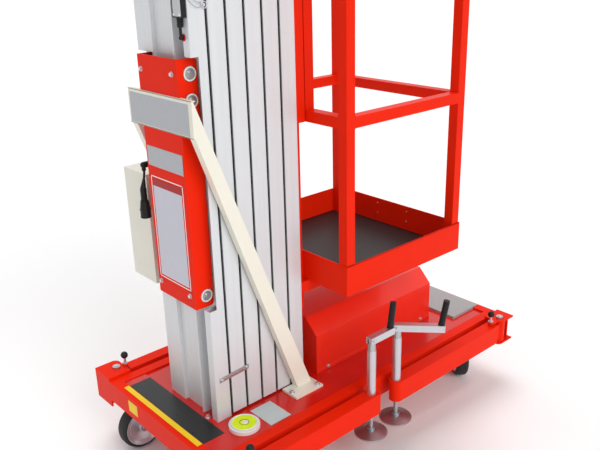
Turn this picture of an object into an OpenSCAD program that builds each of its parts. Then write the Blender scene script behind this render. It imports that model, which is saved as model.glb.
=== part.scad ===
// Push-around vertical mast lift: a low chassis on four wheels, a stack of six
// sliding mast sections, a one-person platform, and four swing-out outriggers
// with screw jacks. X runs along the chassis towards the platform end, Z is up,
// and the origin is on the floor under the middle of the machine.

/* [Chassis] */
// Length of the chassis from the front skirt to the rear end
base_l = 1460; // [1380:10:1600]
// Width over the two side rails
base_w = 662; // [640:2:720]
// Height of the side rail tops above the floor
rail_top = 279; // [270:1:300]
// Height of the side rails and cross members
rail_h = 79; // [60:1:86]
// Width of a side rail
rail_w = 40; // [30:1:50]
// Depth of the deck surface below the rail tops
deck_drop = 7; // [4:1:12]
// Thickness of the deck plate
deck_t = 6; // [3:1:10]
// Length of the raised plate at the front of the deck
ledge_l = 86; // [60:1:100]
// Thickness of the raised front plate and of the step plate
plate_t = 4; // [2:0.5:6]
// Length of the step plate along the chassis
step_l = 167; // [120:1:180]
// Width of the step plate across the chassis
step_w = 472; // [300:2:560]
// Gap between the step plate and the rear end of the chassis
step_inset = 8; // [4:1:30]

/* [Mast] */
// Height of the mast top above the floor
mast_top = 1980; // [1850:10:2200]
// Width of a mast section
section_w = 280; // [260:2:320]
// Depth of a mast section
section_d = 56; // [54:1:64]
// Gap between two neighbouring sections
section_gap = 9.4; // [5:0.2:12]
// Distance from the front end of the chassis to the front of the mast
mast_inset = 147; // [130:1:170]
// Wall thickness of a section
section_wall = 3.5; // [3:0.5:5]
// Half width of the front land between the two guide slots
land_half = 60; // [58:1:64]
// Width of a guide slot
slot_w = 50; // [44:1:56]
// Depth of a guide slot
slot_d = 46; // [36:1:48]
// Half width of the shallow chain groove in the front land
groove_half = 52; // [44:1:52]
// Depth of the chain groove
groove_d = 12; // [8:1:14]
// Reach of a guide rail into the next section's slot
guide_reach = 22; // [15:1:30]
// Gap between the deck and the foot of a moving section
section_lift = 8; // [5:1:15]

/* [Front channel and brace] */
// Height of the channel's lower end above the floor
channel_z = 684; // [640:2:740]
// Length of the channel
channel_h = 776; // [700:2:800]
// Width of the channel
channel_w = 212; // [200:1:214]
// Depth of the channel's flanges
channel_d = 67; // [56:1:70]
// Thickness of the channel
channel_t = 6; // [4:1:8]
// Gap between the mast land and the channel's web
channel_gap = 20; // [14:1:24]
// Radius of the channel's rounded rear corners
channel_r = 12; // [6:1:20]
// Diameter of the guide rollers
roller_d = 44; // [36:1:46]
// Distance from the mast front to the roller axes
roller_in = 17; // [14:1:20]
// Width of the brace's head plate
brace_w = 348; // [340:2:370]
// Height of the brace's head plate
brace_h = 108; // [90:1:120]
// Height of the head plate's lower edge above the floor
brace_z = 1245; // [1200:5:1260]
// Thickness of the head plate
brace_t = 5; // [3:1:8]
// Thickness of a brace leg across the machine
leg_t = 28; // [20:1:30]
// Width of a brace leg along the machine
leg_w = 63; // [50:1:70]
// Distance from the mast front to the rear edge of a leg's foot
leg_reach = 387; // [360:1:410]
// Length of a foot plate
foot_l = 125; // [110:1:140]
// Width of a foot plate
foot_w = 77; // [60:1:90]
// Thickness of a foot plate
foot_t = 8; // [5:1:10]

/* [Box and fittings] */
// Height of the control box
box_h = 389; // [340:1:420]
// Width of the control box across the machine
box_w = 144; // [110:1:160]
// Depth of the control box along the machine
box_d = 150; // [110:1:160]
// Height of the control box's bottom above the floor
box_z = 673; // [660:1:720]
// Gap between the brace leg and the control box
box_gap = 6; // [5:1:10]
// Distance from the mast front to the control box's front
box_in = 4; // [0:1:20]
// Diameter of the hanging lead
lead_d = 8; // [6:0.5:10]
// Largest diameter of the lead's connector
plug_d = 34; // [30:1:36]
// Diameter of the round level on the deck
level_d = 104; // [80:1:110]
// Height of the round level
level_h = 16; // [10:1:20]

/* [Rear cover] */
// Gap between the mast and the rear cover
cover_gap = 57; // [50:1:70]
// Distance from the rear cover to the rear end of the chassis
cover_inset = 231; // [223:1:280]
// Width of the rear cover
cover_w = 300; // [260:2:340]
// Height of the rear cover above the deck
cover_h = 212; // [180:1:230]
// Height and width of the bevel along the cover's top edges
cover_bevel = 56; // [30:1:70]
// Wall thickness of the cover
cover_t = 3; // [2:0.5:5]

/* [Platform] */
// Length of the platform along the chassis
tray_l = 600; // [560:5:660]
// Width of the platform
tray_w = 646; // [600:2:700]
// Height of the platform's underside above the floor
tray_z = 651; // [630:1:680]
// Height of the toe boards
toe_h = 107; // [100:1:150]
// Thickness of the platform's floor and toe boards
tray_t = 4; // [2:0.5:6]
// Gap between the mast and the platform
tray_gap = 41; // [35:1:60]
// Width of a guard rail tube
tube_w = 37; // [30:1:42]
// Height of the guard rail's top above the platform floor
guard_h = 1110; // [1000:5:1150]
// Height of the middle rail's top above the platform's underside
mid_h = 600; // [550:5:620]
// Thickness of the floor mat
mat_t = 4; // [2:0.5:6]

/* [Outriggers and jacks] */
// Distance from the pin line to the middle of the chassis
pin_y = 381; // [378:1:392]
// Distance from the pin to the nearest end of the chassis
pin_inset = 59; // [56:1:70]
// Width of an outrigger arm
arm_w = 50; // [44:1:52]
// Height of an outrigger arm
arm_h = 80; // [70:1:80]
// Distance from the chassis centre to a front jack
jack_front_in = 100; // [95:1:130]
// Distance from the chassis centre to a rear jack
jack_rear_in = 31; // [28:1:60]
// Diameter of a hinge knuckle
knuckle_d = 46; // [40:1:48]
// Diameter of a hinge pin
pin_d = 20; // [16:1:24]
// Thickness of the bracket plates
bracket_t = 6; // [4:1:8]
// Outer reach of a front bracket from the middle of the chassis
bracket_front = 436; // [410:1:436]
// Outer reach of a rear bracket from the middle of the chassis
bracket_rear = 408; // [406:1:430]
// Inner reach of a bracket's top plate from the pin
bracket_in = 31; // [26:1:34]
// Rounding of a bracket's outer inner corner
bracket_r = 22; // [10:1:24]
// Distance from a front pin to its lock knob
knob_front = 37; // [34:1:44]
// Distance from a rear pin to its lock knob
knob_rear = 62; // [44:1:70]
// Diameter of a lock knob
knob_d = 27; // [22:1:30]
// Diameter of a jack's outer tube
jack_d = 32; // [28:1:36]
// Height of a jack's crank above the floor
crank_z = 503; // [470:1:520]
// Width and height of a crank's channel
crank_w = 25; // [22:1:28]
// Wall thickness of a crank's channel
crank_t = 3; // [2:0.5:4]
// Diameter of a jack's screw
screw_d = 16; // [12:1:20]
// Diameter of a jack's foot
pad_d = 118; // [100:1:120]
// Height of a raised foot's underside above the floor
pad_z = 118; // [100:1:130]
// Length of a front jack's crank
crank_front = 93; // [80:1:94]
// Length of a rear jack's crank
crank_rear = 152; // [120:1:160]
// Length of a crank's grip
grip_l = 92; // [70:1:110]
// Diameter of a crank's grip
grip_d = 22; // [18:1:26]

/* [Wheels] */
// Diameter of a wheel
wheel_d = 176; // [160:1:180]
// Width of a tyre
tyre_w = 50; // [40:1:54]
// Diameter of the steel disc
rim_d = 148; // [120:1:150]
// Distance from the front end of the chassis to the front axle
axle_inset = 80; // [78:1:100]
// Distance from the middle of the chassis to a front wheel
front_track = 275; // [260:1:282]
// Distance from the rear end of the chassis to a caster's swivel
swivel_inset = 104; // [100:1:130]
// Distance from the middle of the chassis to a caster's swivel
swivel_y = 214; // [205:1:230]
// Distance from a caster's swivel to its axle
trail = 34; // [25:1:40]

/* [Hidden] */
$fn = 48;
fit = 0.3;          // running gap at slides and pins
clear = 5;          // gap between moving pieces
red = [0.85, 0.13, 0.07];
cream = [0.87, 0.85, 0.77];
alloy = [0.72, 0.74, 0.75];
steel = [0.6, 0.62, 0.64];
black = [0.06, 0.06, 0.07];

front_x = -base_l / 2;
rear_x = base_l / 2;
rail_y = base_w / 2;
rail_in = rail_y - rail_w;
rail_z = rail_top - rail_h;
deck_z = rail_top - deck_drop;
mast_x = front_x + mast_inset;
pitch = section_d + section_gap;
mast_half = section_w / 2;
axle_x = base_l / 2 - axle_inset;
swivel_x = base_l / 2 - swivel_inset;
caster_plate = swivel_x - 70;
mast_rear = mast_x + 5 * pitch + section_d;
cover_front = mast_rear + cover_gap;
cover_l = rear_x - cover_inset - cover_front;
rail_slot = land_half + slot_w / 2;
lip_in = land_half + slot_w;
web_x = mast_x - channel_gap - channel_t;
roller_x = mast_x + roller_in;
brace_x = web_x - brace_t;
leg_in = brace_w / 2 - leg_t;
leg_foot = mast_x + leg_reach;
box_y = brace_w / 2 + box_gap;
box_x = mast_x + box_in;
arm_z = rail_z - 1;
lug_z = arm_z + arm_h + clear;
low_z = arm_z - clear - 4;
pin_x = base_l / 2 - pin_inset;
tray_x = mast_rear + tray_gap;
tray_mid = tray_x + tray_l / 2;
guard_top = tray_z + tray_t + guard_h;
mid_z = tray_z + mid_h - tube_w;
wheel_z = wheel_d / 2;
hub_d = 34;
axle_d = 12;
fork_t = 5;
fork_w = 60;
fork_plate = 7;
gland_in = 31;
gland_drop = 142;
gland_l = 43;
gland_d = 20;
nose_l = 18;
nose_d = 14;
gland_x = mast_x + gland_in;
gland_y = leg_in + leg_t / 2;
gland_z = brace_z - gland_drop;
strap_in = 28;
strap_w = 28;
strap_h = 36;
strap_low = 30;
strap_high = 300;
level_in = 51;
level_y = 217;
pack_front = 60;
pack_rear = 160;
pack_side = 30;
pack_h = 140;
mount_y = 96;
mount_t = 8;
mount_drop = 120;
mount_top = 60;
cross_h = 60;
bearer_h = 40;
bearer_end = 60;
boss_d = 22;
boss_h = 6;
stem_d = 8;
stem_h = 20;
web_z = rail_z - 28;
neck_h = 26;
droop = 9;

// A box from its lowest to its highest corner
module block(low, high) {
    translate(low) cube([high[0] - low[0], high[1] - low[1], high[2] - low[2]]);
}

// The same shape on both sides of the machine
module both_sides() {
    children();
    mirror([0, 1, 0]) children();
}

// A cylinder that lies along Y, from y0 to y1
module bar_y(x, y0, y1, z, d) {
    translate([x, y0, z]) rotate([-90, 0, 0]) cylinder(d = d, h = y1 - y0);
}

module chassis_frame() color(red) difference() {
    block([front_x, -rail_y, rail_z], [rear_x, rail_y, rail_top]);
    block([front_x + rail_w, -rail_in, rail_z - 1], [caster_plate, rail_in, rail_top + 1]);
    block([caster_plate - 1, -rail_in, rail_z + 8], [rear_x - rail_w, rail_in, rail_top + 1]);
}

module deck_plate() color(red) {
    block([front_x + rail_w, -rail_in, deck_z - deck_t], [rear_x - rail_w, rail_in, deck_z]);
    block([front_x + rail_w, -rail_in, deck_z], [front_x + rail_w + ledge_l, rail_in, deck_z + plate_t]);
}

module step_plate() color(steel) {
    x0 = rear_x - step_inset - step_l;
    block([x0, -step_w / 2, rail_top], [rear_x - step_inset, step_w / 2, rail_top + plate_t]);
    block([x0, -step_w / 2, deck_z], [rear_x - rail_w, step_w / 2, rail_top]);
}

// One hinge bracket: an upper and a lower plate on a back web, with the knob's boss
module bracket(reach, knob_in) {
    difference() {
        union() {
            for (z = [low_z - bracket_t, lug_z]) {
                block([-pin_inset, rail_y, z], [bracket_in - bracket_r, reach, z + bracket_t]);
                block([-pin_inset, rail_y, z], [bracket_in, reach - bracket_r, z + bracket_t]);
                translate([bracket_in - bracket_r, reach - bracket_r, z]) cylinder(r = bracket_r, h = bracket_t);
            }
            block([-pin_inset, rail_y, low_z], [bracket_in, rail_y + bracket_t, lug_z]);
            block([0, pin_y - boss_d / 2, lug_z], [knob_in, pin_y + boss_d / 2, lug_z + bracket_t]);
            translate([knob_in, pin_y, lug_z]) cylinder(d = boss_d, h = bracket_t + boss_h);
        }
        translate([0, pin_y, low_z - 20]) cylinder(d = pin_d + 0.4, h = 200);
    }
}

module corner_brackets() color(red) both_sides() {
    translate([-pin_x, 0, 0]) union() {
        bracket(bracket_front, knob_front);
        block([-pin_inset, rail_y, web_z], [-pin_inset + bracket_t, bracket_front, lug_z + bracket_t]);
    }
    translate([pin_x, 0, 0]) mirror([1, 0, 0]) union() {
        bracket(bracket_rear, knob_rear);
        block([-pin_inset, rail_y, low_z], [-pin_inset + bracket_t, bracket_rear - bracket_r, lug_z]);
    }
}

module hinge_pins() color(steel) both_sides() for (end = [-1, 1]) translate([end * pin_x, pin_y, 0]) {
    translate([0, 0, low_z - bracket_t]) cylinder(d = pin_d, h = lug_z - low_z + 2 * bracket_t);
    translate([0, 0, lug_z + bracket_t]) cylinder(d = pin_d + 8, h = 8);
}

module lock_knobs() color(black) both_sides() for (x = [knob_front - pin_x, pin_x - knob_rear])
    translate([x, pin_y, lug_z + bracket_t + boss_h]) {
        cylinder(d = stem_d, h = stem_h + 4);
        translate([0, 0, stem_h + knob_d / 2]) sphere(d = knob_d);
    }

// One side plate of a wheel fork, in the plane from y0 to y0 + fork_t
module fork_leg(y0, top) hull() {
    translate([0, y0, wheel_z]) rotate([-90, 0, 0]) cylinder(d = hub_d, h = fork_t, $fn = 32);
    translate([-fork_w / 2, y0, top - 1]) cube([fork_w, fork_t, 1]);
}

module front_axles() color(steel) both_sides() translate([-axle_x, front_track, 0]) {
    out = tyre_w / 2 + clear;
    fork_leg(out, rail_z);
    bar_y(0, -tyre_w / 2 - 3, out + 1, wheel_z, axle_d);
    bar_y(0, -tyre_w / 2 - 12, -tyre_w / 2 - 3 - fit, wheel_z, 24);
    bar_y(0, -tyre_w / 2 - 12, -tyre_w / 2 - 3, wheel_z, axle_d);
}

module tyre() color(black) translate([0, 0, wheel_z]) rotate([90, 0, 0]) rotate_extrude($fn = 96) {
    r = wheel_d / 2;
    h = tyre_w / 2;
    polygon([[rim_d / 2, -h], [r - 8, -h], [r - 2, -h + 6], [r, -h + 14],
        [r, h - 14], [r - 2, h - 6], [r - 8, h], [rim_d / 2, h]]);
}

// A dished steel disc with a hub tube
module rim() color(steel) translate([0, 0, wheel_z]) rotate([90, 0, 0]) rotate_extrude($fn = 96) {
    r = rim_d / 2;
    h = tyre_w / 2;
    bore = axle_d / 2 + fit;
    polygon([[bore, -h - 3], [hub_d / 2, -h - 3], [hub_d / 2, -6], [r - 14, -h + 6], [r - 4, -h],
        [r, -h], [r, h], [r - 4, h], [r - 14, h - 6], [hub_d / 2, 6], [hub_d / 2, h + 3], [bore, h + 3]]);
}

module front_wheel_place(side) translate([-axle_x, side * front_track, 0]) children();

// A caster stands with its tread turned towards the front near corner
caster_yaw = [49, 20];
module caster_place(i) {
    side = i == 0 ? -1 : 1;
    translate([swivel_x, side * swivel_y, 0]) rotate([0, 0, caster_yaw[i]]) children();
}

module caster_fork(i) color(steel) {
    out = tyre_w / 2 + clear;
    low = wheel_d + clear;
    top = low + fork_plate;
    caster_place(i) {
        translate([-trail, 0, 0]) {
            for (y0 = [-out - fork_t, out]) fork_leg(y0, top);
            block([-34, -out - fork_t, low], [38, out + fork_t, top]);
            bar_y(0, -out - fork_t - 4, out + fork_t + 4, wheel_z, axle_d);
        }
        translate([0, 0, low]) cylinder(d = 56, h = fork_plate);
        translate([0, 0, top]) cylinder(d = 44, h = rail_z - top - fit);
    }
}

// Cross section of a mast extrusion, with its guide slots and chambers
module section_profile(rails) {
    in = section_wall;
    difference() {
        union() {
            translate([0, -mast_half]) square([section_d, section_w]);
            if (rails) for (side = [-1, 1])
                translate([section_d - 1, side * rail_slot - slot_w / 2 + fit])
                    square([section_gap + guide_reach + 1, slot_w - 2 * fit]);
        }
        if (rails) for (side = [-1, 1])
            translate([section_d, side * rail_slot - slot_w / 2 + fit + in])
                square([section_gap + guide_reach - in, slot_w - 2 * fit - 2 * in]);
        for (side = [-1, 1]) {
            translate([-1, side * rail_slot - slot_w / 2]) square([slot_d + 1, slot_w]);
            translate([in, side > 0 ? lip_in + in : -mast_half + in])
                square([section_d - 2 * in, mast_half - lip_in - 2 * in]);
        }
        translate([-1, -groove_half]) square([groove_d + 1, 2 * groove_half]);
        for (side = [-1, 1]) translate([groove_d + in, side > 0 ? in / 2 : -land_half + in])
            square([section_d - groove_d - 2 * in, land_half - 1.5 * in]);
    }
}

module mast_section(i) color(alloy) {
    foot = i == 1 ? deck_z : deck_z + section_lift;
    translate([mast_x + (i - 1) * pitch, 0, 0]) difference() {
        union() {
            translate([0, 0, foot]) linear_extrude(mast_top - foot) section_profile(i < 6);
            if (i == 1) both_sides() block([0, lip_in, recess_low], [section_d, mast_half, recess_high]);
        }
        if (i == 1) both_sides() translate([0, 0, recess_low]) linear_extrude(recess_high - recess_low)
            polygon([[-1, lip_in - 1], [-1, mast_half + 1], [lip_cut, mast_half + 1], [slot_d, lip_in - 1]]);
    }
}
// The first section's lips are cut back on a slant where the channel's flanges stand
lip_cut = 26;
recess_low = channel_z - clear;
recess_high = channel_z + channel_h + clear;

module mast_channel() color(red) difference() {
    union() {
        block([web_x, -channel_w / 2, channel_z], [web_x + channel_t, channel_w / 2, channel_z + channel_h]);
        both_sides() {
            block([web_x, flange_in, channel_z], [flange_x, channel_w / 2, channel_z + channel_h]);
            block([web_x, flange_in, channel_z + channel_r],
                [flange_x + channel_r, channel_w / 2, channel_z + channel_h - channel_r]);
            for (z = [channel_z + channel_r, channel_z + channel_h - channel_r])
                bar_y(flange_x, flange_in, channel_w / 2, z, 2 * channel_r);
            for (z = roller_heights) block([web_x + channel_t, groove_half + 1, z - 20],
                [mast_x, land_half - 1, z + 20]);
        }
    }
    both_sides() for (z = roller_heights) bar_y(roller_x, land_half, channel_w, z, roller_d + 3);
}
flange_x = web_x + channel_d - channel_r;
flange_in = channel_w / 2 - channel_t;
roller_heights = [channel_z + 38, channel_z + channel_h - 121, channel_z + channel_h - 44];

module channel_rollers() color(steel) both_sides() for (z = roller_heights) {
    bar_y(roller_x, land_half, channel_w / 2 - 1, z, roller_d - 14);
    bar_y(roller_x, land_half + 16, channel_w / 2 - 1, z, roller_d);
}

module brace_head() color(cream)
    block([brace_x, -brace_w / 2, brace_z], [web_x, brace_w / 2, brace_z + brace_h]);

module brace_legs() color(cream) both_sides() {
    foot = deck_z + foot_t;
    translate([0, brace_w / 2, 0]) rotate([90, 0, 0]) linear_extrude(leg_t)
        polygon([[web_x, brace_z + brace_h], [leg_foot, foot], [leg_foot - leg_w, foot], [web_x, brace_z]]);
    block([leg_foot - foot_l + 14, leg_in, deck_z], [leg_foot + 14, leg_in + foot_w, foot]);
}

module control_box() color(cream) {
    block([box_x, box_y, box_z], [box_x + box_d, box_y + box_w, box_z + box_h]);
}

// The box hangs on two straps that reach round the brace leg to the mast
module box_brackets() color(steel) for (z = [box_z + strap_low, box_z + strap_high])
    block([mast_x + strap_in, mast_half, z], [mast_x + strap_in + strap_w, box_y, z + strap_h]);

module lead_gland() color(black) translate([gland_x, gland_y, gland_z]) rotate([0, -90, 0]) {
    cylinder(d = gland_d, h = gland_l);
    translate([0, 0, gland_l]) {
        sphere(d = gland_d);
        rotate([0, -90, 0]) cylinder(d = nose_d, h = nose_l);
    }
}

// Route of the hanging lead, from the gland's face to the connector
lead_start = [gland_x - gland_l, gland_y, gland_z - nose_l];
lead_route = [[0, 0, 0], [0, 0, -4], [0, 0, -8], [-0.4, 0, -12], [-1.1, 0, -16], [-2, -0.5, -20], [-3.1, -0.9, -24],
    [-4.4, -1.4, -28], [-5.7, -1.8, -32], [-7, -2.2, -36], [-8.2, -2.6, -40], [-9.3, -2.8, -44], [-10.1, -3, -48],
    [-10.7, -3, -52], [-11, -3, -56]];
module power_lead() color(black) translate(lead_start) sweep(lead_route, lead_d / 2, 10);

module lead_plug() color(black) translate(lead_start + lead_route[len(lead_route) - 1]) mirror([0, 0, 1]) {
    cylinder(d = 20, h = 42);
    translate([0, 0, 42]) cylinder(d1 = 26, d2 = plug_d, h = 28);
    translate([0, 0, 70]) cylinder(d = plug_d, h = 30);
}

// A round tube swept along a list of points
module sweep(path, r, sides) {
    n = len(path);
    tangent = [for (i = [0 : n - 1]) unit(path[min(i + 1, n - 1)] - path[max(i - 1, 0)])];
    points = [for (i = [0 : n - 1]) let (t = tangent[i], u = unit(cross(t, [0.3, 1, 0.2])), v = cross(t, u))
        for (k = [0 : sides - 1]) path[i] + r * (cos(360 * k / sides) * u + sin(360 * k / sides) * v)];
    faces = [for (i = [0 : n - 2]) for (k = [0 : sides - 1]) let (m = (k + 1) % sides)
        [i * sides + k, (i + 1) * sides + k, (i + 1) * sides + m, i * sides + m]];
    ends = [[for (k = [0 : sides - 1]) k], [for (k = [sides - 1 : -1 : 0]) (n - 1) * sides + k]];
    polyhedron(points, concat(faces, ends));
}
function unit(v) = v / norm(v);

switch_z = 1572;
switch_y = -115;
module limit_switch() color(steel) {
    block([mast_x - 3, switch_y - 20, switch_z], [mast_x, switch_y + 20, switch_z + 116]);
    block([mast_x - 17, switch_y - 23, switch_z], [mast_x - 3, switch_y + 23, switch_z + 100]);
}

module switch_cable() color(black) {
    translate([mast_x - 9, switch_y + 1, switch_z]) {
        translate([0, 0, -26]) cylinder(d = 16, h = 26);
        translate([0, 0, -54]) cylinder(d = 8, h = 30);
        translate([0, 0, -54]) rotate([0, 90, 0]) cylinder(d = 12, h = 9 - fit);
        translate([0, 0, -54]) sphere(d = 12);
    }
}

module level_vial() color("palegreen") translate([mast_x + level_in, -level_y, deck_z]) {
    cylinder(d = level_d, h = level_h - 4);
    translate([0, 0, level_h - 4]) cylinder(d = level_d - 22, h = 4);
}

// End view of the rear cover, grown inwards by t
module cover_outline(t) {
    w = cover_w / 2 - t;
    h = cover_h - t;
    b = cover_bevel;
    polygon([[-w, t > 0 ? -1 : 0], [w, t > 0 ? -1 : 0], [w, h - b], [w - b, h], [b - w, h], [-w, h - b]]);
}

module rear_cover() color(red) translate([cover_front, 0, deck_z]) rotate([90, 0, 90]) difference() {
    linear_extrude(cover_l) cover_outline(0);
    translate([0, 0, cover_t]) linear_extrude(cover_l - 2 * cover_t) cover_outline(cover_t);
}

module power_pack() color(black)
    block([cover_front + pack_front, -cover_w / 2 + pack_side, deck_z],
        [cover_front + cover_l - pack_rear, cover_w / 2 - pack_side, deck_z + pack_h]);

module platform_mount() color(red) {
    low = tray_z - mount_drop;
    high = mast_top - mount_top;
    both_sides() {
        block([mast_rear, mount_y, low], [tray_x, mount_y + mount_t, mid_z]);
        block([mast_rear, mount_y, mid_z], [tray_x, mount_y + tube_w, high]);
        block([mast_rear, mount_y, tray_z - bearer_h], [tray_x + tray_l - bearer_end, mount_y + tube_w, tray_z]);
    }
    for (z = [low, high - cross_h]) block([mast_rear, -mount_y, z], [tray_x, mount_y, z + cross_h]);
}

module platform_tray() color(red) difference() {
    block([tray_x, -tray_w / 2, tray_z], [tray_x + tray_l, tray_w / 2, tray_z + toe_h]);
    block([tray_x + tray_t, -tray_w / 2 + tray_t, tray_z + tray_t],
        [tray_x + tray_l - tray_t, tray_w / 2 - tray_t, tray_z + toe_h + 1]);
}

module platform_mat() color([0.2, 0.2, 0.22]) difference() {
    block([tray_x + tray_t, -tray_w / 2 + tray_t, tray_z + tray_t],
        [tray_x + tray_l - tray_t, tray_w / 2 - tray_t, tray_z + tray_t + mat_t]);
    for (x = [tray_x + tray_t, tray_x + tray_l - tray_t - tube_w]) both_sides()
        block([x, tray_w / 2 - tray_t - tube_w, tray_z], [x + tube_w, tray_w / 2 - tray_t, tray_z + 50]);
}

// Posts, top rails and the fixed middle rails of the guard frame
module guard_rails() color(red) {
    x0 = tray_x + tray_t;
    x1 = tray_x + tray_l - tray_t - tube_w;
    y0 = tray_w / 2 - tray_t - tube_w;
    for (x = [x0, x1]) both_sides() block([x, y0, tray_z + tray_t], [x + tube_w, y0 + tube_w, guard_top]);
    both_sides() {
        block([x0, y0, guard_top - tube_w], [x1 + tube_w, y0 + tube_w, guard_top]);
        block([x0, y0, mid_z], [x1 + tube_w, y0 + tube_w, mid_z + tube_w]);
        block([x0, mount_y, mid_z], [x0 + tube_w, y0, mid_z + tube_w]);
        block([x0, mount_y, mid_z], [x0 + tube_w, mount_y + tube_w, guard_top]);
    }
    for (x = [x0, x1]) block([x, -y0, guard_top - tube_w], [x + tube_w, y0, guard_top]);
}

// Middle rail of the entry side, which slides up between its two posts
module entry_bar() color(red) {
    x = tray_x + tray_l - tray_t - tube_w;
    y = tray_w / 2 - tray_t - tube_w - fit;
    block([x, -y, mid_z], [x + tube_w, y, mid_z + tube_w]);
}

// Frames of the four outriggers, each drawn with its arm along +X from the pin
module corner(front, left) translate([front ? -pin_x : pin_x, left ? pin_y : -pin_y, 0])
    mirror([front ? 0 : 1, 0, 0]) mirror([0, left ? 0 : 1, 0]) children();

function reach(front) = pin_x - (front ? jack_front_in : jack_rear_in);

module arm(front) color(red) difference() {
    union() {
        block([44, -arm_w / 2, arm_z], [reach(front) + (front ? arm_w / 2 - 3 : 0), arm_w / 2, arm_z + arm_h]);
        block([0, -15, arm_z + 6], [60, 15, arm_z + arm_h - 6]);
        translate([0, 0, low_z + fit]) cylinder(d = knuckle_d, h = lug_z - low_z - 2 * fit);
        if (!front) translate([reach(front), 0, arm_z]) cylinder(d = arm_w, h = arm_h);
    }
    translate([0, 0, low_z - 1]) cylinder(d = pin_d + 2 * fit, h = lug_z - low_z + 2);
    translate([reach(front), 0, arm_z - 1]) cylinder(d = screw_d + 2 * fit, h = arm_h + 2);
}

crank_turn = [0, 133];
module jack(front) color(steel) translate([reach(front), 0, 0]) {
    tube_top = crank_z - crank_w - neck_h;
    difference() {
        translate([0, 0, arm_z + arm_h]) cylinder(d = jack_d, h = tube_top - arm_z - arm_h);
        translate([0, 0, arm_z]) cylinder(d = screw_d + 2 * fit, h = tube_top - 12 - arm_z);
    }
    translate([0, 0, tube_top - 1]) cylinder(d = crank_w - 2 * crank_t, h = neck_h + crank_w);
    crank(front ? crank_front : crank_rear, front ? crank_turn[0] : crank_turn[1]);
}

// An inverted channel on top of a jack, with the round stub that carries its grip
module crank(l, turn) translate([0, 0, crank_z - crank_w]) rotate([0, 0, turn]) {
    half = crank_w / 2;
    difference() {
        block([-half - 1, -half, 0], [l + half, half, crank_w]);
        block([-half - 2, crank_t - half, -1], [l + half + 1, half - crank_t, crank_w - crank_t]);
    }
}

module grips(front) color(black) {
    turn = front ? crank_turn[0] : crank_turn[1];
    l = front ? crank_front : crank_rear;
    translate([reach(front), 0, crank_z]) rotate([0, 0, turn]) translate([l, 0, 0]) {
        cylinder(d = grip_d, h = 4);
        translate([0, 0, 2]) rotate([0, droop, 0]) cylinder(d = grip_d - 0.2, h = grip_l);
    }
}

module jack_foot(front) color(steel) translate([reach(front), 0, pad_z]) {
    cylinder(d = pad_d, h = 5);
    translate([0, 0, 5]) cylinder(d1 = pad_d, d2 = 44, h = 9);
    translate([0, 0, 14]) cylinder(d = 30, h = 12);
    translate([0, 0, 10]) cylinder(d = screw_d, h = crank_z - crank_w - neck_h - 30 - pad_z);
}

chassis_frame();
deck_plate();
step_plate();
corner_brackets();
hinge_pins();
lock_knobs();
front_axles();
mast_section(1);  // mast_1
mast_channel();
channel_rollers();
brace_head();
brace_legs();
control_box();
box_brackets();
lead_gland();
power_lead();
lead_plug();
limit_switch();
switch_cable();
level_vial();
rear_cover();
power_pack();
mast_section(2);  // mast_2
mast_section(3);  // mast_3
mast_section(4);  // mast_4
mast_section(5);  // mast_5
mast_section(6);  // mast_6
platform_mount();
platform_tray();
platform_mat();
guard_rails();
entry_bar();
front_wheel_place(1) tyre();  // front_tyre_left
front_wheel_place(-1) tyre();  // front_tyre_right
front_wheel_place(1) rim();  // front_rim_left
front_wheel_place(-1) rim();  // front_rim_right
caster_fork(1);  // caster_fork_left
caster_fork(0);  // caster_fork_right
caster_place(1) translate([-trail, 0, 0]) tyre();  // rear_tyre_left
caster_place(0) translate([-trail, 0, 0]) tyre();  // rear_tyre_right
caster_place(1) translate([-trail, 0, 0]) rim();  // rear_rim_left
caster_place(0) translate([-trail, 0, 0]) rim();  // rear_rim_right
corner(true, true) arm(true);  // arm_front_left
corner(true, false) arm(true);  // arm_front_right
corner(false, true) arm(false);  // arm_rear_left
corner(false, false) arm(false);  // arm_rear_right
corner(true, true) jack(true);  // jack_front_left
corner(true, false) jack(true);  // jack_front_right
corner(false, true) jack(false);  // jack_rear_left
corner(false, false) jack(false);  // jack_rear_right
corner(true, true) grips(true);  // grips_front_left
corner(true, false) grips(true);  // grips_front_right
corner(false, true) grips(false);  // grips_rear_left
corner(false, false) grips(false);  // grips_rear_right
corner(true, true) jack_foot(true);  // foot_front_left
corner(true, false) jack_foot(true);  // foot_front_right
corner(false, true) jack_foot(false);  // foot_rear_left
corner(false, false) jack_foot(false);  // foot_rear_right
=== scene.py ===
import math

import bmesh
import bpy
from mathutils import Matrix, Vector


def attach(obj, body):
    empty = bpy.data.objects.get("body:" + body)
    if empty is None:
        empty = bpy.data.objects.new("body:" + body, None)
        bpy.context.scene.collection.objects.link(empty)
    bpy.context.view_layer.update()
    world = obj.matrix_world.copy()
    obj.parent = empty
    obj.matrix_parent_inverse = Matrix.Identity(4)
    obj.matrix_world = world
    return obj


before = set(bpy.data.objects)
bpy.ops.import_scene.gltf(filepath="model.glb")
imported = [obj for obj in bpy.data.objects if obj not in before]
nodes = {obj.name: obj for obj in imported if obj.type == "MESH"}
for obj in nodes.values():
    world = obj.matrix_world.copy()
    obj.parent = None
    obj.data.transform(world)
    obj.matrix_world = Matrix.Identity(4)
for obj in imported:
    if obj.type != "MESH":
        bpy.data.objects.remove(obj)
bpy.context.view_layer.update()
MM = 0.001


# Camera: matched to the photograph by its vanishing lines
CAMERA_PLACE = (-1.734, -1.892, 1.745)
CAMERA_RIGHT = (0.7455, -0.6660, -0.0250)
CAMERA_UP = (0.2518, 0.2467, 0.9358)
LENS = 44.47


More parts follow.
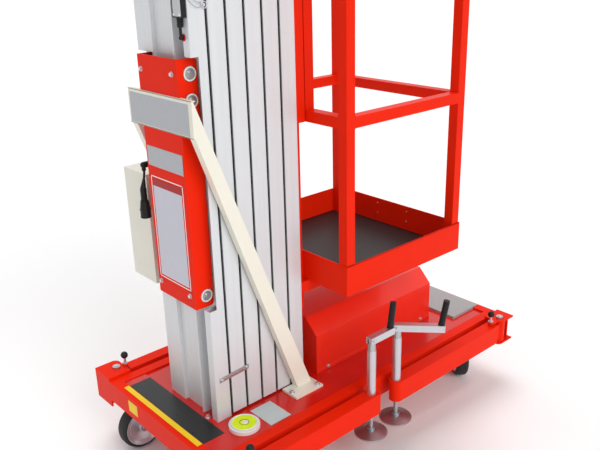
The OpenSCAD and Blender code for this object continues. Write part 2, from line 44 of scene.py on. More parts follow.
def make_camera():
    data = bpy.data.cameras.new("camera")
    data.lens = LENS
    data.sensor_width = 36
    camera = bpy.data.objects.new("camera", data)
    bpy.context.scene.collection.objects.link(camera)
    right = Vector(CAMERA_RIGHT).normalized()
    back = right.cross(Vector(CAMERA_UP)).normalized()
    up = back.cross(right)
    turn = Matrix((right, up, back)).transposed().to_4x4()
    camera.matrix_world = Matrix.Translation(CAMERA_PLACE) @ turn
    bpy.context.scene.camera = camera


# The lead's route from its gland to the connector, in millimetres
LEAD_ROUTE = [(-595, 160, 1085), (-595, 160, 1081), (-595, 160, 1077), (-595.4, 160, 1073), (-596.1, 160, 1069),
              (-597, 159.5, 1065), (-598.1, 159.1, 1061), (-599.4, 158.6, 1057), (-600.7, 158.2, 1053),
              (-602, 157.8, 1049), (-603.2, 157.4, 1045), (-604.3, 157.2, 1041), (-605.1, 157, 1037),
              (-605.7, 157, 1033), (-606, 157, 1029)]


# Materials

def surface(name, color, rough, metal=0.0, grain=40, stretch=(1, 1, 1), mottle=0.04, spread=0.06,
            bump=0.05, fine=900, coat=0.0, shine=0.5):
    """A principled finish whose colour, roughness and relief vary with a coarse and a fine noise."""
    material = bpy.data.materials.new(name)
    material.use_nodes = True
    tree = material.node_tree
    new, link = tree.nodes.new, tree.links.new
    shader = tree.nodes["Principled BSDF"]
    shader.inputs["Metallic"].default_value = metal
    shader.inputs["Specular IOR Level"].default_value = shine
    shader.inputs["Coat Weight"].default_value = coat
    shader.inputs["Coat Roughness"].default_value = 0.08
    place = new("ShaderNodeTexCoord")
    scaled = new("ShaderNodeMapping")
    scaled.inputs["Scale"].default_value = stretch
    link(place.outputs["Object"], scaled.inputs["Vector"])
    coarse = new("ShaderNodeTexNoise")
    coarse.inputs["Scale"].default_value = grain
    coarse.inputs["Detail"].default_value = 4
    link(scaled.outputs["Vector"], coarse.inputs["Vector"])
    tint = new("ShaderNodeMix")
    tint.data_type = "RGBA"
    tint.inputs["A"].default_value = (*[c * (1 - mottle) for c in color], 1)
    tint.inputs["B"].default_value = (*[min(1, c * (1 + mottle)) for c in color], 1)
    link(coarse.outputs["Fac"], tint.inputs["Factor"])
    link(tint.outputs["Result"], shader.inputs["Base Color"])
    gloss = new("ShaderNodeMapRange")
    gloss.inputs["To Min"].default_value = max(0.02, rough - spread)
    gloss.inputs["To Max"].default_value = min(1, rough + spread)
    link(coarse.outputs["Fac"], gloss.inputs["Value"])
    link(gloss.outputs["Result"], shader.inputs["Roughness"])
    small = new("ShaderNodeTexNoise")
    small.inputs["Scale"].default_value = fine
    link(scaled.outputs["Vector"], small.inputs["Vector"])
    relief = new("ShaderNodeBump")
    relief.inputs["Strength"].default_value = bump
    relief.inputs["Distance"].default_value = 0.001
    link(small.outputs["Fac"], relief.inputs["Height"])
    link(relief.outputs["Normal"], shader.inputs["Normal"])
    return material


RED = surface("red_enamel", (0.84, 0.020, 0.003), 0.34, grain=9, mottle=0.05, bump=0.05, fine=260, shine=0.05)
COVER_RED = surface("cover_enamel", (0.84, 0.022, 0.006), 0.30, grain=9, mottle=0.05, bump=0.05, fine=260,
                    shine=0.5, coat=0.15)
# The deck plate's red is a darker copy of the red enamel: painted shade on the deck.
SHADED_DECK_RED = surface("deck_enamel_painted_shade", (0.64, 0.012, 0.006), 0.22, grain=7, mottle=0.08, bump=0.05, fine=200, shine=0.5)
CREAM = surface("cream_enamel", (0.84, 0.82, 0.71), 0.38, grain=12, mottle=0.03, bump=0.05, fine=300, shine=0.3)
BOX_CREAM = surface("box_enamel", (0.82, 0.80, 0.71), 0.42, grain=12, mottle=0.03, bump=0.06, fine=300, shine=0.2)
ALLOY = surface("mast_alloy", (0.69, 0.71, 0.73), 0.40, metal=0.2, grain=60, stretch=(1, 1, 0.02),
                mottle=0.06, bump=0.12, fine=500)
STEEL = surface("plated_steel", (0.46, 0.48, 0.48), 0.30, metal=0.9, grain=60, mottle=0.10, bump=0.04)
BRIGHT_STEEL = surface("bright_steel", (0.60, 0.60, 0.64), 0.32, metal=0.85, grain=30, mottle=0.05, spread=0.03,
                       bump=0.02)
DARK_STEEL = surface("foot_steel", (0.38, 0.38, 0.40), 0.30, metal=0.85, grain=30, mottle=0.2, bump=0.06)
BLACK = surface("black_plastic", (0.012, 0.012, 0.013), 0.40, grain=120, mottle=0.25, bump=0.10, shine=0.2)
RUBBER = surface("tyre_rubber", (0.018, 0.018, 0.019), 0.62, grain=150, mottle=0.30, bump=0.30, shine=0.3)
MAT = surface("floor_mat", (0.016, 0.014, 0.014), 0.40, grain=220, mottle=0.35, bump=0.3, fine=420, shine=0.25)
GRIT = surface("step_grit", (0.38, 0.39, 0.39), 0.62, grain=240, mottle=0.55, bump=0.9, fine=520, shine=0.3)
WHITE = surface("white_label", (0.86, 0.86, 0.84), 0.34, grain=40, mottle=0.02, bump=0.02, shine=0.3)
PALE_GREY = surface("grey_label", (0.56, 0.64, 0.64), 0.36, grain=40, mottle=0.04, bump=0.02, shine=0.2)
LILAC = surface("pale_label", (0.60, 0.60, 0.68), 0.36, grain=30, mottle=0.03, bump=0.02, shine=0.2)
SILVER = surface("silver_plate", (0.42, 0.43, 0.46), 0.40, metal=0.3, grain=70, mottle=0.08, bump=0.05)
YELLOW = surface("yellow_stripe", (0.90, 0.62, 0.015), 0.38, grain=40, mottle=0.04, bump=0.03, shine=0.2)
LABEL_BLACK = surface("black_label", (0.020, 0.021, 0.022), 0.30, grain=40, mottle=0.15, bump=0.02, shine=0.3)
HEADER = surface("red_header", (0.42, 0.010, 0.010), 0.34, grain=40, mottle=0.04, bump=0.02, shine=0.2)
FLUID = surface("level_fluid", (0.74, 0.95, 0.008), 0.18, grain=60, mottle=0.06, bump=0.01, shine=0.2)
GREY_CASE = surface("grey_case", (0.50, 0.52, 0.53), 0.45, metal=0.3, grain=120, mottle=0.06, bump=0.15)

FINISH = {
    RED: ["chassis_frame", "corner_brackets", "mast_channel", "platform_mount",
          "platform_tray", "guard_rails", "entry_bar"],
    COVER_RED: ["rear_cover"],
    SHADED_DECK_RED: ["deck_plate"],
    CREAM: ["brace_head", "brace_legs"],
    BOX_CREAM: ["control_box"],
    ALLOY: ["mast_%d" % i for i in range(1, 7)],
    STEEL: ["hinge_pins", "front_axles", "channel_rollers", "box_brackets"],
    GRIT: ["step_plate"],
    BLACK: ["lock_knobs", "lead_gland", "power_lead", "lead_plug", "switch_cable", "power_pack", "limit_switch"],
    MAT: ["platform_mat"],
    WHITE: ["level_vial"],
    BRIGHT_STEEL: [], DARK_STEEL: [], RUBBER: [],
}
SIDES = {"left": 1, "right": -1}
ENDS = ["front", "rear"]
for side in SIDES:
    FINISH[STEEL].append("caster_fork_" + side)
    for end in ENDS:
        corner = end + "_" + side
        FINISH[RED].append("arm_" + corner)
        FINISH[BRIGHT_STEEL] += ["jack_" + corner, end + "_rim_" + side]
        FINISH[DARK_STEEL].append("foot_" + corner)
        FINISH[BLACK].append("grips_" + corner)
        FINISH[RUBBER].append(end + "_tyre_" + side)

# Bevel widths in millimetres, for nodes whose edges are rounded by more than 0.8 mm
SOFT_EDGES = {"rear_cover": 6, "control_box": 5, "guard_rails": 3, "platform_tray": 2, "chassis_frame": 3,
              "mast_channel": 1.5, "brace_legs": 1.5, "brace_head": 1.5}


def dress_nodes():
    for material, names in FINISH.items():
        for name in names:
            mesh = nodes[name].data
            mesh.materials.clear()
            mesh.materials.append(material)
    for name, node in nodes.items():
        if name in ("power_lead", "power_pack"):
            continue
        bevel = node.modifiers.new("edges", "BEVEL")
        bevel.width = SOFT_EDGES.get(name, 0.8) * MM
        bevel.segments = 2
        bevel.limit_method = "ANGLE"
        bevel.angle_limit = math.radians(40)


class Shape:
    """Collects simple solids, in millimetres, into one mesh that rides on a body."""

    def __init__(self):
        self.mesh = bmesh.new()

    def _add(self, made, matrix):
        bmesh.ops.transform(self.mesh, matrix=matrix, verts=made["verts"])

    def block(self, low, high, about_z=0):
        low, high = Vector(low), Vector(high)
        made = bmesh.ops.create_cube(self.mesh, size=1)
        size = Matrix.Diagonal((*(high - low), 1))
        turn = Matrix.Rotation(math.radians(about_z), 4, "Z")
        self._add(made, Matrix.Translation((low + high) / 2) @ turn @ size)
        return self

    def slab(self, corners, along):
        """A flat plate: its outline's corners, pushed out by the vector along."""
        low = [self.mesh.verts.new(Vector(c)) for c in corners]
        high = [self.mesh.verts.new(Vector(c) + Vector(along)) for c in corners]
        count = len(corners)
        self.mesh.faces.new(low)
        self.mesh.faces.new(list(reversed(high)))
        for i in range(count):
            j = (i + 1) % count
            self.mesh.faces.new((low[j], low[i], high[i], high[j]))
        return self

    def rod(self, start, end, r, r_end=None, sides=24):
        start, end = Vector(start), Vector(end)
        along = end - start
        made = bmesh.ops.create_cone(self.mesh, cap_ends=True, segments=sides, radius1=r,
                                     radius2=r if r_end is None else r_end, depth=along.length)
        turn = along.to_track_quat("Z", "Y").to_matrix().to_4x4()
        self._add(made, Matrix.Translation((start + end) / 2) @ turn)
        return self

    def ball(self, centre, r, squash=1.0):
        made = bmesh.ops.create_uvsphere(self.mesh, u_segments=24, v_segments=14, radius=r)
        self._add(made, Matrix.Translation(centre) @ Matrix.Diagonal((1, 1, squash, 1)))
        return self

    def hoop(self, centre, axis, r, thick, steps=36, sides=10, turns=1.0, pitch=0.0):
        """A ring of tube about an axis, or with a pitch a helix of so many turns."""
        turn = Vector(axis).to_track_quat("Z", "Y").to_matrix().to_4x4()
        place = Matrix.Translation(centre) @ turn
        count = int(steps * turns)
        points = []
        for i in range(count + 1):
            a = 2 * math.pi * turns * i / count
            points.append(place @ Vector((r * math.cos(a), r * math.sin(a), pitch * turns * i / count)))
        closed = turns == 1.0 and pitch == 0.0
        return self.tube(points[:-1] if closed else points, thick, sides, closed)

    def tube(self, points, r, sides=10, closed=False):
        points = [Vector(p) for p in points]
        count = len(points)
        rings = []
        for i, p in enumerate(points):
            if closed:
                along = points[(i + 1) % count] - points[i - 1]
            else:
                along = points[min(i + 1, count - 1)] - points[max(i - 1, 0)]
            along.normalize()
            across = along.cross(Vector((0.31, 0.17, 0.94)))
            if across.length < 0.1:
                across = along.cross(Vector((0.94, 0.31, 0.17)))
            across.normalize()
            other = along.cross(across)
            ring = []
            for k in range(sides):
                a = 2 * math.pi * k / sides
                ring.append(self.mesh.verts.new(p + r * (math.cos(a) * across + math.sin(a) * other)))
            rings.append(ring)
        pairs = list(zip(rings, rings[1:] + rings[:1])) if closed else list(zip(rings, rings[1:]))
        for a, b in pairs:
            for k in range(sides):
                m = (k + 1) % sides
                self.mesh.faces.new((a[k], b[k], b[m], a[m]))
        if not closed:
            self.mesh.faces.new(rings[0])
            self.mesh.faces.new(list(reversed(rings[-1])))
        return self

    def bolt(self, base, axis, across=13, height=6, washer=9):
        """A hexagon head on a washer, standing on base along axis."""
        base, axis = Vector(base), Vector(axis).normalized()
        self.rod(base - axis, base + axis * 1.6, washer)
        self.rod(base + axis * 1.6, base + axis * (1.6 + height), across / 2 / math.cos(math.pi / 6), sides=6)
        return self

    def screw(self, base, axis, r=5, height=3):
        """A domed round head, standing on base along axis."""
        base, axis = Vector(base), Vector(axis).normalized()
        self.rod(base - axis, base + axis * height * 0.5, r)
        self.rod(base + axis * height * 0.5, base + axis * height, r, r * 0.6)
        return self

    def done(self, name, body, material, bevel=0.0, slot=None):
        bmesh.ops.recalc_face_normals(self.mesh, faces=self.mesh.faces)
        bmesh.ops.scale(self.mesh, vec=(MM, MM, MM), verts=self.mesh.verts)
        data = bpy.data.meshes.new(name)
        self.mesh.to_mesh(data)
        self.mesh.free()
        data.polygons.foreach_set("use_smooth", [True] * len(data.polygons))
        data.set_sharp_from_angle(angle=math.radians(35))
        data.materials.append(material)
        piece = bpy.data.objects.new(name, data)
        bpy.context.scene.collection.objects.link(piece)
        if bevel:
            edge = piece.modifiers.new("edges", "BEVEL")
            edge.width = bevel * MM
            edge.segments = 2
            edge.limit_method = "ANGLE"
            edge.angle_limit = math.radians(40)
        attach(piece, body)
        return piece


# Places taken over from the source, in millimetres
FRONT_X = -730
REAR_X = 730
RAIL_TOP = 279
DECK_Z = 272
MAST_X = -583
MAST_TOP = 1980
CHANNEL_SPAN = (679, 1465)
PITCH = 65.4
WEB_X = -609
HEAD_X = -614
SWITCH_Y = -115
CABLE_Y = -114
SWITCH_Z = 1572
PIN_X = 671
PIN_Y = 381
LUG_TOP = 290
CRANK_Z = 503
CRANK_TURN = {"front": 0, "rear": 133}
JACK_REACH = {"front": 571, "rear": 640}
CRANK_L = {"front": 93, "rear": 152}
GRIP_LEAN = 9
TRAY = ((-159, -323, 651), (441, 323, 758))
GUARD_TOP = 1765
COVER = ((-143, -150, 272), (499, 150, 484))
BOX = ((-579, 180, 673), (-429, 324, 1062))
THIN = 0.7


def flat_plate(y0, y1, z0, z1, x, thick=THIN):
    """Corners of a thin upright plate on a face that looks towards -X."""
    return (x - thick, y0, z0), (x, y1, z1)


def channel_details():
    frame_line = Shape()
    for low, high in (((-85, 743), (93, 746)), ((-85, 1085), (93, 1088)), ((-85, 743), (-82, 1088)), ((90, 743), (93, 1088))):
        frame_line.block(*flat_plate(low[0], high[0], low[1], high[1], WEB_X))
    frame_line.done("channel_label_border", "chassis", WHITE)
    Shape().block(*flat_plate(-76, 84, 752, 1056, WEB_X)).done("channel_label_panel", "chassis", LILAC)
    Shape().block(*flat_plate(-76, 84, 1056, 1080, WEB_X)).done("channel_label_header", "chassis", HEADER)
    Shape().block(*flat_plate(-97, 98, 1121, 1184, WEB_X, 1.2)).done("channel_plate", "chassis", SILVER, bevel=0.4)
    rivets = Shape()
    for y in (-92, 93):
        for z in (1126, 1179):
            rivets.screw((WEB_X - 1.2, y, z), (-1, 0, 0), 2.4, 1.4)
    rivets.done("channel_plate_rivets", "chassis", STEEL)
    screws = Shape()
    for y in (89, -78):
        for z in (1417, 725):
            screws.bolt((WEB_X, y, z), (-1, 0, 0), across=11, height=5, washer=8)
    screws.done("channel_bolts", "chassis", BRIGHT_STEEL, bevel=0.5)
    rims = Shape()
    hubs = Shape()
    for side in SIDES.values():
        for z in (722, 1339, 1416):
            rims.hoop((-566, side * 105.5, z), (0, 1, 0), 19, 2.2)
            hubs.rod((-566, side * 100, z), (-566, side * 107, z), 10)
            hubs.rod((-566, side * 104, z), (-566, side * 109, z), 7.5, sides=6)
    rims.done("roller_rings", "chassis", WHITE)
    hubs.done("roller_hubs", "chassis", STEEL, bevel=0.4)


def brace_details():
    Shape().block(*flat_plate(-156, 166, 1250, 1342, HEAD_X, 1.0)).done("brace_label", "chassis", SILVER, bevel=0.3)
    lips = Shape()
    lips.block((HEAD_X, -174, 1350), (WEB_X + 8, 174, 1353.4))
    lips.block((HEAD_X, -174, 1244.6), (WEB_X + 8, 174, 1248))
    lips.done("brace_head_lips", "chassis", CREAM, bevel=0.8)
    bolts = Shape()
    for side in SIDES.values():
        for x, y in ((-297, 187), (-196, 209)):
            bolts.bolt((x, side * y, DECK_Z + 8), (0, 0, 1), across=13, height=7, washer=10)
    bolts.done("foot_plate_bolts", "chassis", BRIGHT_STEEL, bevel=0.6)
    weld = Shape()
    for side in SIDES.values():
        y0, y1 = side * 146, side * 174
        ring = [(-259, y0, 280), (-259, y1, 280), (-196, y1, 280), (-196, y0, 280)]
        weld.tube(ring, 2.6, sides=8, closed=True)
    weld.done("foot_plate_welds", "chassis", CREAM)


def deck_details():
    ledge = DECK_Z + 4
    Shape().block((-688, -205, ledge), (-604, 256, ledge + THIN)).done("ledge_label", "chassis", LABEL_BLACK)
    Shape().block((-710, -205, RAIL_TOP), (-691, 256, RAIL_TOP + THIN)).done("ledge_stripe", "chassis", YELLOW)
    Shape().block((-465, -274, DECK_Z), (-378, -163, DECK_Z + THIN)).done("deck_label", "chassis", PALE_GREY)
    Shape().block((FRONT_X - THIN, 136, 224), (FRONT_X, 194, 267)).done("skirt_patch", "chassis", YELLOW)
    Shape().bolt((-590, -92, DECK_Z), (0, 0, 1), across=11, height=8, washer=9).done(
        "mast_foot_bolt", "chassis", BRIGHT_STEEL, bevel=0.5)


def level_details():
    x, y, z = -532, -217, DECK_Z + 16
    Shape().rod((x, y, z - 3), (x, y, z + 0.6), 41, 40, sides=64).done("level_fluid", "chassis", FLUID)
    rings = Shape()
    rings.hoop((x, y, z), (0, 0, 1), 42.5, 2.2, steps=64)
    rings.hoop((x, y, z - 4), (0, 0, 1), 50.5, 1.6, steps=64)
    rings.done("level_rings", "chassis", WHITE)
    Shape().hoop((x, y, z + 0.8), (0, 0, 1), 15, 0.7, steps=48).done("level_circle", "chassis", BLACK)
    Shape().ball((x + 3, y - 2, z + 0.4), 11, 0.16).done("level_bubble", "chassis", WHITE)


def switch_details():
    face = MAST_X - 17
    lid = Shape().block((face - 3, SWITCH_Y - 21, SWITCH_Z + 4), (face, SWITCH_Y + 15, SWITCH_Z + 96))
    lid.done("switch_lid", "chassis", GREY_CASE, bevel=1.2)
    screws = Shape()
    for y in (-17, 11):
        for z in (9, 91):
            screws.screw((face - 3, SWITCH_Y + y, SWITCH_Z + z), (-1, 0, 0), 3, 1.8)
    screws.done("switch_screws", "chassis", WHITE)
    gland = Shape()
    for k in range(3):
        gland.hoop((MAST_X - 9, CABLE_Y, SWITCH_Z - 4 - 7 * k), (0, 0, 1), 8, 1.4, steps=24)
    gland.done("switch_gland_rings", "chassis", BLACK)
    grommet = Shape().hoop((MAST_X - 1, CABLE_Y, SWITCH_Z - 54), (1, 0, 0), 8, 2.2, steps=28)
    grommet.done("switch_grommet", "chassis", HEADER)
    head = Shape()
    head.block((face + 1, SWITCH_Y - 16, SWITCH_Z + 100), (face + 16, SWITCH_Y + 16, SWITCH_Z + 120))
    head.rod((face + 8, SWITCH_Y - 22, SWITCH_Z + 111), (face + 8, SWITCH_Y + 18, SWITCH_Z + 111), 5)
    head.block((face + 4, SWITCH_Y - 24, SWITCH_Z + 104), (face + 12, SWITCH_Y - 20, SWITCH_Z + 158))
    head.rod((face + 8, SWITCH_Y - 25, SWITCH_Z + 154), (face + 8, SWITCH_Y - 14, SWITCH_Z + 154), 8)
    head.done("switch_head", "chassis", BLACK, bevel=0.8)


def lock_details():
    eye = Shape()
    eye.hoop((-530, -145, 1603), (0, 1, 0), 9, 1.5, steps=28)
    eye.bolt((-530, -140, 1603), (0, -1, 0), across=9, height=3, washer=6)
    eye.done("lock_eye", "chassis", BRIGHT_STEEL)
    wire = Shape()
    wire.tube([(-583, -134, 1622), (-577, -141, 1617), (-568, -145, 1607), (-558, -146, 1599), (-548, -146, 1597),
               (-539, -146, 1599)], 1.1, sides=8)
    wire.tube([(-583, -134, 1630), (-576, -141, 1626), (-564, -145, 1618), (-552, -146, 1612), (-540, -146, 1609)],
              1.1, sides=8)
    wire.done("lock_wire", "chassis", STEEL)
    strap = Shape()
    strap.slab([(-565, -140, 416), (-565, -140, 433), (-446, -140, 440), (-446, -140, 423)], (0, -3, 0))
    strap.slab([(-565, -143, 421), (-565, -143, 428), (-446, -143, 435), (-446, -143, 428)], (0, -1.6, 0))
    strap.done("transport_strap", "chassis", STEEL, bevel=0.6)
    ends = Shape()
    for x, z in ((-557, 425), (-454, 431)):
        ends.bolt((x, -144, z), (0, -1, 0), across=8, height=4, washer=6)
    ends.done("transport_strap_bolts", "chassis", BRIGHT_STEEL, bevel=0.4)


def mast_details():
    """A flat strip closes the far slot of the front section, fine lines run down the mast's side edges, and black
    strips paint shade into the gaps between sections.
    """
    low, high = CHANNEL_SPAN
    strips = Shape()
    for z0, z1 in ((DECK_Z, low), (high, MAST_TOP - 1)):
        strips.block((MAST_X - 1.2, 53, z0), (MAST_X + 1.5, 114, z1))
    strips.done("mast_front_strips", "chassis", ALLOY, bevel=0.4)
    for i in range(1, 7):
        body = "chassis" if i == 1 else "platform" if i == 6 else "mast_stage_%d" % i
        x = MAST_X + (i - 1) * PITCH
        foot = DECK_Z if i == 1 else DECK_Z + 8
        lines = Shape()
        for side in SIDES.values():
            for at in (3, 53):
                spans = ((foot, low), (high, MAST_TOP)) if i == 1 and at == 3 else ((foot, MAST_TOP),)
                for z0, z1 in spans:
                    lines.block((x + at - 0.7, side * 140 - 0.5, z0), (x + at + 0.7, side * 140 + 0.5, z1 - 0.5))
        lines.done("mast_edge_lines_%d" % i, body, ALLOY)
        if i < 6:
            # Black strips between the sections: painted shade that darkens the gaps.
            painted_gap_shade = Shape()
            for side in SIDES.values():
                y0, y1 = sorted((side * 113, side * 139))
                painted_gap_shade.block((x + 59.5, y0, foot + 8), (x + 62, y1, MAST_TOP - 2))
            painted_gap_shade.done("mast_glides_%d" % i, body, BLACK)


def corner_details():
    pins = Shape()
    for end in (-1, 1):
        for side in SIDES.values():
            x, y = end * PIN_X, side * PIN_Y
            pins.rod((x, y, LUG_TOP + 7), (x, y, LUG_TOP + 10), 6, sides=6)
            pins.rod((x, y, 178), (x, y, 184), 8)
    pins.done("pin_washers", "chassis", BRIGHT_STEEL)
    stems = Shape()
    for x in (37 - PIN_X, PIN_X - 62):
        for side in SIDES.values():
            stems.rod((x, side * PIN_Y, 296), (x, side * PIN_Y, 300), 8, sides=6)
            stems.hoop((x, side * PIN_Y, 297), (0, 0, 1), 9.5, 1.2, steps=24)
            stems.rod((x, side * PIN_Y, 300), (x, side * PIN_Y, 317), 4.6)
    stems.done("knob_nuts", "chassis", BRIGHT_STEEL)


def cover_details():
    low, high = COVER
    flange = Shape()
    for side in SIDES.values():
        flange.block((low[0] - 1, side * 150 - 1.2, DECK_Z), (high[0] + 1, side * 150 + 1.2, DECK_Z + 14))
    flange.done("cover_hems", "chassis", COVER_RED, bevel=1.0)
    bolts = Shape()
    for x in (-86, 178, 442):
        for side in SIDES.values():
            bolts.bolt((x, side * 151.4, 284), (0, side, 0), across=9, height=4, washer=7)
    for y in (-130, 130):
        bolts.bolt((high[0], y, 300), (1, 0, 0), across=9, height=4, washer=7)
    bolts.done("cover_bolts", "chassis", BRIGHT_STEEL, bevel=0.4)


def platform_details():
    low, high = TRAY
    bolts = Shape()
    for y in (90, -67):
        for z in (737, 695):
            bolts.screw((high[0] - 4, y, z), (-1, 0, 0), 3.2, 1.6)
            bolts.bolt((high[0], y, z), (1, 0, 0), across=8, height=3, washer=5)
    bolts.done("toe_board_bolts", "platform", BRIGHT_STEEL)
    welds = Shape()
    for x in (low[0] + 4, high[0] - 41):
        for side in SIDES.values():
            y0, y1 = side * 319, side * 282
            for z in (1214, 1251):
                a, b = (x + 37, x + 37) if x < 0 else (x, x)
                welds.tube([(a, y0, z), (b, y1, z)], 2.0, sides=8)
    welds.done("rail_welds", "platform", RED)
    sleeve = Shape()
    x = high[0] - 41
    for side in SIDES.values():
        sleeve.block((x - 1.5, side * 282 - 3, 1211), (x + 38.5, side * 282 + 3, 1254))
    sleeve.done("entry_bar_ends", "entry_bar", RED, bevel=0.8)
    lip = Shape()
    for side in SIDES.values():
        lip.block((low[0], side * 321.5 - 1.5, 755), (high[0], side * 321.5 + 1.5, 758))
    lip.done("toe_board_lips", "platform", RED, bevel=0.8)


def in_corner(end, side, along, out, z):
    """A point given along an outrigger from its pin, and out from the machine's side."""
    x = -PIN_X + along if end == "front" else PIN_X - along
    return (x, side * (PIN_Y + out), z)


def outrigger_details():
    for end in ENDS:
        for label, side in SIDES.items():
            corner = end + "_" + label
            body = "outrigger_" + corner
            reach, turn = JACK_REACH[end], math.radians(CRANK_TURN[end])
            across = Vector(in_corner(end, side, -math.sin(turn), math.cos(turn), 0)) - Vector(in_corner(end, side, 0, 0, 0))
            hub = Vector(in_corner(end, side, reach, 0, CRANK_Z))
            tip = Vector(in_corner(end, side, reach + CRANK_L[end] * math.cos(turn), CRANK_L[end] * math.sin(turn), CRANK_Z))
            along = (tip - hub).normalized()
            bolts = Shape()
            for way in (-1, 1):
                bolts.bolt(hub + way * across * 12.5 - Vector((0, 0, 13)), across * way, across=9, height=4, washer=6)
            bolts.rod(tip - Vector((0, 0, 9)), tip - Vector((0, 0, 3)), 6.5, sides=6)
            bolts.done("jack_fittings_" + corner, body, BRIGHT_STEEL, bevel=0.3)
            collar = Shape().rod(hub - Vector((0, 0, 52)), hub - Vector((0, 0, 26)), 14.2, 13.6, sides=32)
            collar.done("jack_collar_" + corner, body, STEEL, bevel=0.6)
            lean = math.radians(GRIP_LEAN)
            up = (along * math.sin(lean) + Vector((0, 0, 1)) * math.cos(lean)).normalized()
            ridges = Shape()
            for k in range(13):
                ridges.hoop(tip + up * (10 + 6.2 * k), up, 10.3, 1.3, steps=24, sides=8)
            ridges.rod(tip + Vector((0, 0, 1)), tip + Vector((0, 0, 5)), 12.2, 11.6)
            ridges.done("grip_ridges_" + corner, body, BLACK)
            x, y, _ = in_corner(end, side, reach, 0, 0)
            thread = Shape()
            thread.hoop((x, y, 134), (0, 0, 1), 7.6, 0.65, steps=20, sides=6, turns=17, pitch=4)
            thread.done("jack_thread_" + corner, "foot_" + corner, BRIGHT_STEEL)
            rim = Shape()
            rim.hoop((x, y, 120.5), (0, 0, 1), 57.4, 1.5, steps=64)
            rim.hoop((x, y, 133), (0, 0, 1), 13, 2.2, steps=32)
            rim.done("foot_rim_" + corner, "foot_" + corner, DARK_STEEL)


def wheel_details():
    for label, side in SIDES.items():
        hub = Shape()
        for way in (-1, 1):
            y = side * 275 + way * 26
            for r in (71, 58):
                hub.hoop((-650, y - way * (3 if r > 60 else 8), 88), (0, 1, 0), r, 1.4, steps=56)
            hub.rod((-650, y - way * 6, 88), (-650, y + way * 2, 88), 22, 20)
            hub.bolt((-650, y + way * 2, 88), (0, way, 0), across=17, height=2.4, washer=12)
        hub.done("front_hub_" + label, "front_wheel_" + label, BRIGHT_STEEL, bevel=0.5)
        yaw = math.radians(20 if side > 0 else 49)
        centre = Vector((626 - 34 * math.cos(yaw), side * 214 - 34 * math.sin(yaw), 88))
        axle = Vector((-math.sin(yaw), math.cos(yaw), 0))
        hub = Shape()
        for way in (-1, 1):
            face = centre + axle * way * 26
            for r in (71, 58):
                hub.hoop(face - axle * way * (3 if r > 60 else 8), axle, r, 1.4, steps=56)
            hub.rod(face - axle * way * 6, face + axle * way * 1.6, 20, 19)
        hub.done("rear_hub_" + label, "rear_wheel_" + label, BRIGHT_STEEL, bevel=0.5)
        nuts = Shape()
        for way in (-1, 1):
            nuts.bolt(centre + axle * way * 39, axle * way, across=17, height=6, washer=12)
        swivel = (626, side * 214)
        nuts.hoop((*swivel, 187), (0, 0, 1), 26, 3.2, steps=40)
        nuts.done("caster_nuts_" + label, "caster_" + label, STEEL, bevel=0.4)


def box_details():
    low, high = BOX
    lid = Shape()
    lid.block((low[0] + 6, high[1] - 0.5, low[2] + 6), (high[0] - 6, high[1] + 2.4, high[2] - 6))
    lid.done("box_lid", "chassis", BOX_CREAM, bevel=1.6)
    latch = Shape()
    latch.rod((high[0] - 22, high[1] + 2, 868), (high[0] - 22, high[1] + 8, 868), 9)
    latch.block((high[0] - 24, high[1] + 6, 852), (high[0] - 20, high[1] + 10, 884))
    for z in (740, 995):
        latch.rod((low[0] + 8, high[1] + 3, z - 22), (low[0] + 8, high[1] + 3, z + 22), 4)
    latch.done("box_latch", "chassis", BLACK, bevel=0.8)


def plug_details():
    x, y, z = LEAD_ROUTE[-1]
    ribs = Shape()
    for k in range(6):
        ribs.hoop((x, y, z - 7 - 6 * k), (0, 0, 1), 10, 1.3, steps=28)
    ribs.hoop((x, y, z - 72), (0, 0, 1), 16.8, 1.6, steps=36)
    ribs.hoop((x, y, z - 98), (0, 0, 1), 16.6, 1.6, steps=36)
    ribs.done("plug_ribs", "chassis", BLACK)
    pins = Shape()
    for k in range(6):
        a = math.pi * k / 3
        pins.rod((x + 9 * math.cos(a), y + 9 * math.sin(a), z - 99), (x + 9 * math.cos(a), y + 9 * math.sin(a), z - 101.5), 2)
    pins.done("plug_pins", "chassis", BRIGHT_STEEL)
    relief = Shape()
    relief.rod(LEAD_ROUTE[-8], (x, y, z - 1), 4.3, 9.6)
    relief.done("plug_relief", "chassis", BLACK)


# Floor, light and backdrop

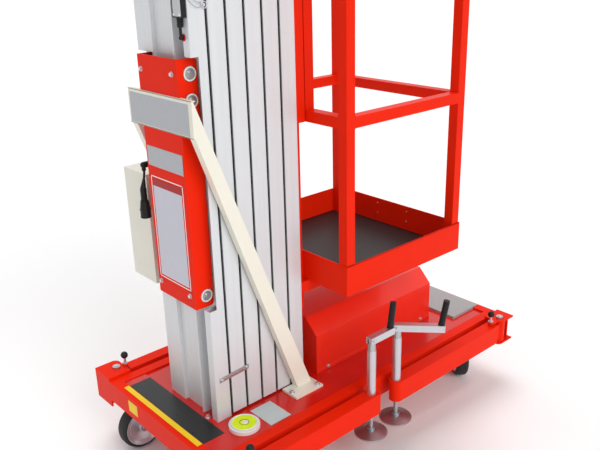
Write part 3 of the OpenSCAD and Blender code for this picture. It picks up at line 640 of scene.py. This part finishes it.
def make_stage():
    floor = bpy.data.meshes.new("floor")
    r = 60
    floor.from_pydata([(-r, -r, 0), (r, -r, 0), (r, r, 0), (-r, r, 0)], [], [(0, 1, 2, 3)])
    plane = bpy.data.objects.new("floor", floor)
    bpy.context.scene.collection.objects.link(plane)
    floor.materials.append(surface("pale_floor", (0.97, 0.97, 0.97), 0.7, grain=2, mottle=0.005, bump=0.0))


SUNS = [
    ("key", (0.10, 0.25, 1.0), 1.25, 35),
    ("fill", (-0.05, -1.0, 0.55), 1.25, 40),
]
AMBIENT = 0.50


def make_light():
    for name, toward, strength, spread in SUNS:
        data = bpy.data.lights.new(name, "SUN")
        data.energy = strength
        data.angle = math.radians(spread)
        lamp = bpy.data.objects.new(name, data)
        lamp.rotation_euler = Vector(toward).to_track_quat("Z", "Y").to_euler()
        bpy.context.scene.collection.objects.link(lamp)
    world = bpy.data.worlds.new("world")
    bpy.context.scene.world = world
    world.use_nodes = True
    tree = world.node_tree
    light = tree.nodes["Background"]
    light.inputs["Color"].default_value = (1, 1, 1, 1)
    light.inputs["Strength"].default_value = AMBIENT
    seen = tree.nodes.new("ShaderNodeBackground")
    seen.inputs["Color"].default_value = (1, 1, 1, 1)
    path = tree.nodes.new("ShaderNodeLightPath")
    rays = "Is Camera Ray"
    total = path.outputs[rays]
    for ray in ("Is Glossy Ray", "Is Transmission Ray"):
        add = tree.nodes.new("ShaderNodeMath")
        add.operation = "MAXIMUM"
        tree.links.new(total, add.inputs[0])
        tree.links.new(path.outputs[ray], add.inputs[1])
        total = add.outputs[0]
    mix = tree.nodes.new("ShaderNodeMixShader")
    tree.links.new(total, mix.inputs["Fac"])
    tree.links.new(light.outputs[0], mix.inputs[1])
    tree.links.new(seen.outputs[0], mix.inputs[2])
    tree.links.new(mix.outputs[0], tree.nodes["World Output"].inputs["Surface"])
    bpy.context.scene.view_settings.view_transform = "Standard"


make_camera()
dress_nodes()
channel_details()
brace_details()
deck_details()
level_details()
switch_details()
lock_details()
mast_details()
corner_details()
cover_details()
platform_details()
outrigger_details()
wheel_details()
box_details()
plug_details()
make_stage()
make_light()
